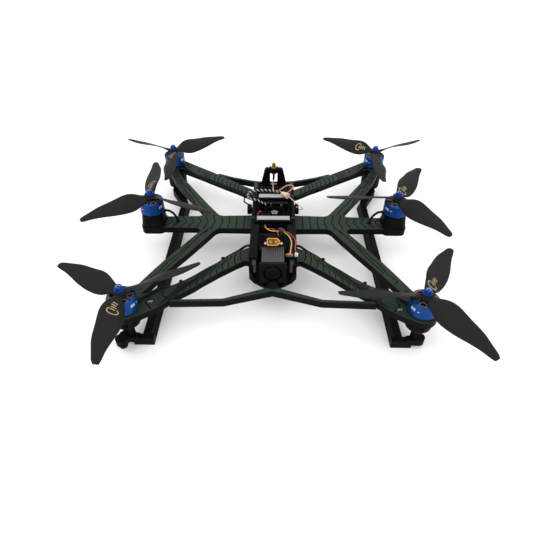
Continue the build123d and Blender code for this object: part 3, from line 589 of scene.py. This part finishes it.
def band(build, x, y, radius, start, end, z0, z1, lift=0.06):
    """A thin curved label on a cylinder, from one angle to another."""
    steps = max(2, int(abs(end - start) / 4))
    for i in range(steps):
        a = math.radians(start + (end - start) * i / steps)
        b = math.radians(start + (end - start) * (i + 1) / steps)
        low, high = [], []
        for angle in (a, b):
            c, s = math.cos(angle), math.sin(angle)
            low.append((x + (radius - 0.15) * c, y + (radius - 0.15) * s))
            high.append((x + (radius + lift) * c, y + (radius + lift) * s))
        build.hexahedron([(*low[0], z0), (*high[0], z0), (*high[1], z0), (*low[1], z0)],
                         [(*low[0], z1), (*high[0], z1), (*high[1], z1), (*low[1], z1)])


def bell_marks(name, x, y, z):
    """Plain white bars on the bell's side, three groups of five."""
    build = Builder()
    top = z - HUB_ABOVE_PAD + BELL_TOP
    for start in (200, 320, 80):
        for i in range(4):
            band(build, x, y, BELL_R, start + i * 5.4, start + i * 5.4 + 3.4, top - 9.2, top - 5.2)
        band(build, x, y, BELL_R, start + 30, start + 38, top - 8.6, top - 7.6)
    return build.make("bell_marks_" + name, WHITE, "rotor_" + name)


def blade_top(name, x, y, z):
    """Height of the propeller's upper face at a plan point, in mm."""
    prop = NODES["propeller_" + name]
    hit, spot, *_ = prop.ray_cast(Vector((x * MM, y * MM, (z + 30) * MM)), Vector((0, 0, -1)))
    return spot.z / MM if hit else None


def blade_print(name, x, y, z, turn):
    """A plain gold mark near the root of one blade: an open ring with four short bars across the blade."""
    build = Builder()
    c, s = math.cos(math.radians(turn)), math.sin(math.radians(turn))

    def spot(r, t):
        px, py = x + r * c - t * s, y + r * s + t * c
        high = blade_top(name, px, py, z)
        return None if high is None else (px, py, high)

    def stroke(points, width):
        for (r0, t0), (r1, t1) in zip(points, points[1:]):
            long = math.hypot(r1 - r0, t1 - t0)
            nr, nt = -(t1 - t0) / long * width / 2, (r1 - r0) / long * width / 2
            plan = [(r0 - nr, t0 - nt), (r1 - nr, t1 - nt), (r1 + nr, t1 + nt), (r0 + nr, t0 + nt)]
            corners = [spot(r, t) for r, t in plan]
            if None in corners:
                continue
            build.hexahedron([(a, b, h - PRINT_SUNK) for a, b, h in corners],
                             [(a, b, h + PRINT_PROUD) for a, b, h in corners])

    def placed(r, t):
        return (PRINT_FLIP - r, -t) if name in REVERSED else (r, t)

    arc = []
    for i in range(41):
        angle = math.radians(-140 + 280 * i / 40)
        arc.append(placed(RING_AT + RING_ALONG * math.cos(angle), RING_ACROSS * math.sin(angle)))
    stroke(arc, 1.2)
    for r, left, right in ((29.0, -2.8, 2.0), (25.8, -2.3, 2.8), (22.6, -2.8, 2.3), (19.4, -2.0, 2.8)):
        stroke([placed(r + 0.05 * i, left + (right - left) * i / 12) for i in range(13)], 1.3)
    return build.make("blade_print_" + name, GOLD, "rotor_" + name)


for name, (x, y, z, turn) in ROTORS.items():
    windings(name, x, y, z)
    window_trims(name, x, y, z)
    bell_marks(name, x, y, z)
    blade_print(name, x, y, z, turn)


# ---- small parts: painted shade in the shaft sockets, cup slots and on the brace tab; pod skirts, module pin ---
def hexagon(x, y, radius, z):
    """The corners of a level hexagon."""
    return [(x + radius * math.cos(math.radians(60 * i)), y + radius * math.sin(math.radians(60 * i)), z)
            for i in range(6)]


# painted shade: a dark hexagon on each shaft's end stands in for the shade in its socket
for name, (x, y, z, _) in ROTORS.items():
    hole = Builder()
    hole.hexahedron(hexagon(x, y, 1.6, z + SHAFT_END - 0.2), hexagon(x, y, 1.6, z + SHAFT_END + 0.03))
    hole.make("shaft_socket_" + name, GROOVE_AND_SHADE, "rotor_" + name)

# painted shade: dark bands in the forward side of the cups under the front motors stand in for the shade
# inside their slots
slots = Builder()
for side in (-1, 1):
    x, y = side * ROTOR_X, -ROTOR_Y
    middle = -90 - side * 6
    band(slots, x, y, CUP_R - 0.25, middle - 16, middle + 16, -1.6, -0.5, 0.2)
    band(slots, x, y, CUP_R - 0.40, middle + 2, middle + 9, -5.2, -1.5, 0.25)
    band(slots, x, y, CUP_R - 0.35, middle - 16, middle - 12, -3.2, -1.0, 0.2)
    for offset in (44, 52):
        turn = -90 - side * offset
        band(slots, x, y, CUP_R - 0.30, turn - 4, turn + 4, -2.6, -0.2, 0.2)
slots.make("cup_slots", GROOVE_AND_SHADE, "airframe")

# painted shade: a darker green film over the brace's tab under the nose stands in for the shade that falls
# there
tab = [(-4.2, -130.2), (-8.2, -140.8), (0, -143.8), (8.2, -140.8), (4.2, -130.2)]
shade = Builder()
shade.hexahedron([(x, y, SKIN_TOP - 0.2) for x, y in tab], [(x, y, SKIN_TOP + 0.05) for x, y in tab])
shade.make("brace_tab_shade", PAINTED_SHADE_GREEN, "airframe")

# a thin black rim round the foot of each raised middle pod
skirts = Builder()
for side in (-1, 1):
    rim = []
    for i in range(32):
        turn = math.radians(360 / 32 * i + 5.6)
        corner_x = side * ROTOR_X + math.copysign(POD_STRAIGHT_X, math.cos(turn))
        corner_y = math.copysign(POD_STRAIGHT_Y, math.sin(turn))
        rim.append((corner_x + POD_CORNER * math.cos(turn), corner_y + POD_CORNER * math.sin(turn)))
    skirts.hexahedron([(x, y, SKIN_TOP - SKIN_T - 0.05) for x, y in rim],
                      [(x, y, SKIN_TOP + 0.2) for x, y in rim])
skirts.make("pod_skirts", BLACK, "airframe")

pin = Builder()
pin.hexahedron(hexagon(35.8, 27.5, 1.3, 19.9), hexagon(35.8, 27.5, 1.3, 21.6))
pin.make("module_pin", BRASS, "airframe")


# ---- bright petals on the cooling fan's hub --------------------------------------------------
petals = Builder()
fan_low, fan_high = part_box("fan_rotor")
fan_x = (fan_low.x + fan_high.x) / 2 / MM
fan_y = (fan_low.y + fan_high.y) / 2 / MM
fan_top = fan_high.z / MM
for k in range(5):
    rim = [(1.2, -16), (3.4, -30), (5.0, -24), (5.3, -8)]
    rim = rim + [(radius, -turn) for radius, turn in reversed(rim)]
    plan = []
    for radius, turn in rim:
        angle = math.radians(72 * k + 90 + turn)
        plan.append((fan_x + radius * math.cos(angle), fan_y + radius * math.sin(angle)))
    petals.hexahedron([(a, b, fan_top - 0.3) for a, b in plan], [(a, b, fan_top + 0.25) for a, b in plan])
petals.make("fan_petals", FAN_GREY, "fan")


# ---- foam battery pads -----------------------------------------------------------------------
def foam_pad(name, half_x, y0, y1):
    """A soft block whose top sinks towards its edges and is a little uneven."""
    bpy.ops.mesh.primitive_grid_add(x_subdivisions=44, y_subdivisions=10, size=1)
    obj = bpy.context.object
    obj.name = name
    mid, half_y = (y0 + y1) / 2, (y1 - y0) / 2
    for v in obj.data.vertices:
        u, w = v.co.x * 2, v.co.y * 2
        edge = min((1 - abs(u)) * half_x, (1 - abs(w)) * half_y)
        sink = 0.75 * math.exp(-edge / 0.55)
        wave = 0.10 * math.sin(u * 23 + w * 3) * math.sin(w * 5 + u * 7)
        v.co = Vector((u * half_x * MM, (mid + w * half_y) * MM, (PAD_TOP - sink + wave - 0.1) * MM))
    solid = obj.modifiers.new("body", "SOLIDIFY")
    solid.thickness = 0.0026
    solid.offset = -1
    round_off = obj.modifiers.new("edge", "BEVEL")
    round_off.width = 0.0004
    round_off.segments = 3
    round_off.limit_method = "ANGLE"
    obj.data.materials.append(FOAM)
    obj.data.shade_smooth()
    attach(obj, "airframe")
    return obj


pads = [foam_pad("foam_pad_front", 23.0, -28.2, -19.2), foam_pad("foam_pad_rear", 22.0, 29.6, 38.6)]
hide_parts("battery_pads")


# ---- cords -------------------------------------------------------------------------------------
def cord_curve(name, points, radius, mat):
    """A round wire that follows its points loosely and ends on the first and the last."""
    data = bpy.data.curves.new(name, "CURVE")
    data.dimensions = "3D"
    spline = data.splines.new("NURBS")
    spline.points.add(len(points) - 1)
    for place, (x, y, z) in zip(spline.points, points):
        place.co = (x * MM, y * MM, z * MM, 1)
    spline.order_u = 3
    spline.use_endpoint_u = True
    data.resolution_u = 12
    data.bevel_depth = radius * MM
    data.bevel_resolution = 5
    data.use_fill_caps = True
    data.materials.append(mat)
    obj = bpy.data.objects.new(name, data)
    bpy.context.scene.collection.objects.link(obj)
    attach(obj, "airframe")
    return obj


def centreline(obj):
    """Points along a curve's own line, and its length, in metres."""
    plain = obj.data.copy()
    plain.bevel_depth = 0
    probe = bpy.data.objects.new("probe", plain)
    bpy.context.scene.collection.objects.link(probe)
    bpy.context.view_layer.update()
    mesh = bpy.data.meshes.new_from_object(probe.evaluated_get(bpy.context.evaluated_depsgraph_get()))
    line = [v.co.copy() for v in mesh.vertices]
    bpy.data.objects.remove(probe)
    bpy.data.meshes.remove(mesh)
    return line, sum((b - a).length for a, b in zip(line, line[1:]))


def stripe(name, line, long, pitch, out, radius, mat, phase=0.0):
    """A strand wound round a cable, a closed tube along a helix on the cable's own line."""
    stations = int(long / (pitch / 12)) + 1
    total, k = 0.0, 0
    lengths = [0.0]
    for a, b in zip(line, line[1:]):
        total += (b - a).length
        lengths.append(total)
    normal = Vector((0.6, 0.8, 0))
    centres = []
    for i in range(stations + 1):
        along = total * i / stations
        while k < len(line) - 2 and lengths[k + 1] < along:
            k += 1
        share = (along - lengths[k]) / max(lengths[k + 1] - lengths[k], 1e-9)
        here = line[k].lerp(line[k + 1], min(share, 1.0))
        ahead = (line[k + 1] - line[k]).normalized()
        normal = (normal - ahead * normal.dot(ahead)).normalized()
        other = ahead.cross(normal)
        angle = 2 * math.pi * along / pitch + phase
        centres.append(here + (normal * math.cos(angle) + other * math.sin(angle)) * out)
    verts, faces, sides = [], [], 8
    normal = Vector((0.6, 0.8, 0))
    for i, here in enumerate(centres):
        ahead = (centres[min(i + 1, stations)] - centres[max(i - 1, 0)]).normalized()
        normal = (normal - ahead * normal.dot(ahead)).normalized()
        other = ahead.cross(normal)
        for j in range(sides):
            angle = 2 * math.pi * j / sides
            spot = here + (normal * math.cos(angle) + other * math.sin(angle)) * radius
            verts.append(tuple(spot / MM))
    for i in range(stations):
        for j in range(sides):
            a, b = i * sides + j, i * sides + (j + 1) % sides
            faces.append((a, b, b + sides, a + sides))
    faces.append(tuple(range(sides - 1, -1, -1)))
    faces.append(tuple(range(stations * sides, (stations + 1) * sides)))
    return piece(name, verts, faces, mat, "airframe", smooth=True)


CORDS = {
    # name: (points, radius, material)
    "braided_cable": ([(-9.5, 28.5, 24.5), (-15.0, 25.8, 28.0), (-21.5, 23.2, 34.6), (-29.0, 22.8, 37.8),
                       (-36.0, 26.5, 36.4), (-39.2, 33.5, 35.8), (-38.2, 41.0, 37.2), (-32.0, 46.0, 37.6),
                       (-23.0, 47.8, 38.0), (-13.0, 46.6, 39.0), (-4.0, 43.8, 40.4), (4.5, 39.4, 41.8),
                       (11.0, 36.0, 42.0)], 1.25, LEAD),
    "outer_strand": ([(-30.6, 48.9, 37.0), (-36.2, 46.6, 36.4), (-40.6, 41.6, 34.8), (-43.8, 36.4, 31.8),
                      (-45.4, 33.4, 27.8), (-42.4, 31.6, 25.2), (-37.6, 30.2, 23.4)], 1.1, LEAD),
    "antenna_loop": ([(21.5, 25.9, 42.0), (26.0, 21.6, 40.4), (31.5, 17.8, 37.2), (37.0, 14.6, 33.6),
                      (42.0, 13.4, 29.6), (44.4, 16.2, 25.6), (42.6, 20.6, 22.4), (39.4, 23.4, 19.4)],
                     0.6, BEIGE),
    "coax_cable": ([(0.0, 113.6, 29.35), (0.0, 113.6, 22.4), (-1.0, 109.6, 17.6), (-1.6, 102.8, 18.8),
                    (-1.4, 94.0, 21.4), (-0.9, 84.0, 24.2), (-0.9, 73.4, 26.4), (-0.2, 63.4, 27.4),
                    (3.4, 55.6, 30.0), (9.0, 53.4, 34.6), (15.0, 57.0, 38.0), (21.0, 62.0, 38.6),
                    (28.0, 64.2, 38.0), (31.6, 58.8, 37.4), (27.6, 53.0, 36.8), (22.0, 50.8, 33.0),
                    (18.0, 51.2, 27.6),
                    (16.6, 52.2, 22.0), (16.4, 52.6, 16.55)], 0.95, PINK),
    "yellow_wire": ([(14.9, -44.4, 28.4), (16.2, -50.2, 30.6), (17.5, -55.8, 33.4), (18.9, -60.4, 35.9),
                     (22.0, -66.6, 36.1), (24.3, -74.8, 35.8), (24.2, -84.2, 35.7), (22.6, -94.2, 35.8),
                     (22.0, -103.4, 36.0)], 0.68, YELLOW),
    "red_wire": ([(16.9, -44.2, 29.0), (18.2, -49.4, 31.8), (18.6, -54.6, 35.4), (20.8, -59.4, 37.3),
                  (25.2, -64.6, 37.4), (29.2, -71.4, 36.4), (29.8, -79.8, 36.0), (28.8, -88.6, 35.8),
                  (29.2, -96.0, 36.0), (29.8, -101.9, 36.2)], 0.58, RED),
    "yellow_wire_loop": ([(-11.2, -21.0, 24.0), (-11.6, -27.8, 26.0), (-10.4, -34.6, 27.4),
                          (-6.2, -40.2, 27.6), (0.2, -42.8, 27.4), (7.6, -42.6, 27.6)], 0.75, YELLOW),
    "navy_wire": ([(15.4, -43.8, 26.9), (17.2, -49.6, 29.2), (18.9, -55.4, 32.4), (20.3, -60.0, 35.3),
                   (23.5, -66.4, 35.8), (25.9, -74.8, 35.4), (25.7, -84.4, 35.3), (24.1, -94.4, 35.3),
                   (23.7, -103.5, 35.6)], 0.6, NAVY),
}
# the CAD node that a cord stands in for
CORD_NODES = {"braided_cable": "braided_lead", "antenna_loop": "antenna_wire", "coax_cable": "coax_lead",
              "yellow_wire": "yellow_lead", "red_wire": "red_lead", "yellow_wire_loop": "yellow_loop"}
# pitch, distance from the cord's middle and radius of the strand wound round a cord, in metres
STRIPES = {"braided_cable": (0.0063, 0.00098, 0.00082)}
for name, (points, radius, mat) in CORDS.items():
    wire = cord_curve(name, points, radius, mat)
    line, long = centreline(wire)
    wound = []
    if name in STRIPES:
        pitch, out, thick = STRIPES[name]
        wound = [stripe(name + "_stripe", line, long, pitch, out, thick, PALE_THREAD)]
    if name in CORD_NODES:
        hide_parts(CORD_NODES[name])


# ---- short wire ends and the sleeve over the antenna lead's crimp ---------------------------------
def short_wire(name, points, radius, mat):
    """A closed tube through a few points, smoothed by cutting its corners twice."""
    line = [Vector(point) * MM for point in points]
    for _ in range(2):
        cut = [line[0]]
        for a, b in zip(line, line[1:]):
            cut += [a.lerp(b, 0.25), a.lerp(b, 0.75)]
        line = cut + [line[-1]]
    long = sum((b - a).length for a, b in zip(line, line[1:]))
    return stripe(name, line, long, 0.006, 0.0, radius * MM, mat)


short_wire("antenna_boot", [(0, 113.6, 29.4), (0, 113.6, 23.6), (-0.4, 112.0, 19.4)], 1.8, CLIP)
short_wire("fan_wire", [(-15.8, 9.2, 17.9), (-16.6, 8.2, 24.0), (-18.6, 6.0, 28.2), (-21.4, 2.8, 28.6),
                        (-23.6, -0.8, 24.8), (-26.9, -1.6, 21.0)], 0.65, RED)
short_wire("loop_wire_blue", [(-12.6, -18.2, 22.0), (-12.9, -21.6, 26.4), (-13.0, -25.4, 26.4),
                              (-12.2, -29.0, 25.0)], 0.7, BLUE_WIRE)
short_wire("loop_wire_red", [(-6.0, -34.6, 25.6), (-2.4, -37.6, 28.6), (2.0, -41.0, 29.4),
                             (6.4, -46.0, 28.0), (7.6, -48.6, 24.0)], 0.65, RED)
short_wire("plug_wire_orange", [(16.8, -103.2, 35.3), (18.2, -103.8, 37.6), (21.4, -104.8, 38.1),
                                (24.6, -105.0, 37.6)], 0.6, ORANGE)
short_wire("plug_wire_blue", [(17.0, -106.4, 35.3), (18.8, -107.4, 37.4), (21.8, -108.0, 37.4),
                              (24.6, -107.2, 36.6), (25.6, -105.6, 37.3)], 0.55, BLUE_WIRE)
short_wire("plug_wire_red", [(16.6, -104.8, 35.3), (18.4, -105.6, 37.9), (22.0, -106.6, 38.2),
                             (25.8, -106.4, 37.4)], 0.55, RED)


# ---- camera, floor and light ---------------------------------------------------------------------
def aim(location, yaw, pitch, roll):
    """The matrix of a camera at a place in metres, turned from looking along +Y by angles in degrees."""
    yaw, pitch, roll = map(math.radians, (yaw, pitch, roll))
    ahead = Vector((math.sin(yaw) * math.cos(pitch), math.cos(yaw) * math.cos(pitch), -math.sin(pitch)))
    right = Vector((math.cos(yaw), -math.sin(yaw), 0))
    up = right.cross(ahead)
    side = right * math.cos(roll) + up * math.sin(roll)
    above = up * math.cos(roll) - right * math.sin(roll)
    turn = Matrix((side, above, -ahead)).transposed().to_4x4()
    return Matrix.Translation(location) @ turn


eye = bpy.data.cameras.new("camera")
eye.lens = 29.68
eye.sensor_width = 36
eye.clip_start = 0.01
viewer = bpy.data.objects.new("camera", eye)
viewer.matrix_world = aim(Vector(PHOTO_EYE), PHOTO_YAW, PHOTO_PITCH, PHOTO_ROLL)
bpy.context.scene.collection.objects.link(viewer)
bpy.context.scene.camera = viewer

bpy.ops.mesh.primitive_plane_add(size=40, location=(0, 0, FLOOR_Z * MM))
floor = bpy.context.object
floor.name = "floor"
floor_mat = bpy.data.materials.new("floor_white")
floor_mat.use_nodes = True
floor_mat.node_tree.nodes["Principled BSDF"].inputs["Base Color"].default_value = (0.9, 0.9, 0.9, 1)
floor_mat.node_tree.nodes["Principled BSDF"].inputs["Roughness"].default_value = 0.9
floor_mat.node_tree.nodes["Principled BSDF"].inputs["Specular IOR Level"].default_value = 0.1
floor.data.materials.append(floor_mat)


def area_light(name, location, size, power, aim_at=(0, 0, 0)):
    """A round soft light, in metres and watts, turned towards a point."""
    data = bpy.data.lights.new(name, "AREA")
    data.shape = "DISK"
    data.size = size
    data.energy = power
    obj = bpy.data.objects.new(name, data)
    obj.location = location
    obj.rotation_euler = (Vector(aim_at) - Vector(location)).to_track_quat("-Z", "Y").to_euler()
    bpy.context.scene.collection.objects.link(obj)
    return obj


area_light("key", (-0.9, -0.7, 1.9), 2.2, 22)
area_light("fill", (1.1, -0.9, 1.5), 2.2, 14)
area_light("back", (0.2, 1.6, 1.4), 2.0, 10)
world = bpy.data.worlds.new("studio")
world.use_nodes = True
world.node_tree.nodes["Background"].inputs["Color"].default_value = (1, 1, 1, 1)
world.node_tree.nodes["Background"].inputs["Strength"].default_value = 0.95
bpy.context.scene.world = world
bpy.context.scene.view_settings.view_transform = "Standard"
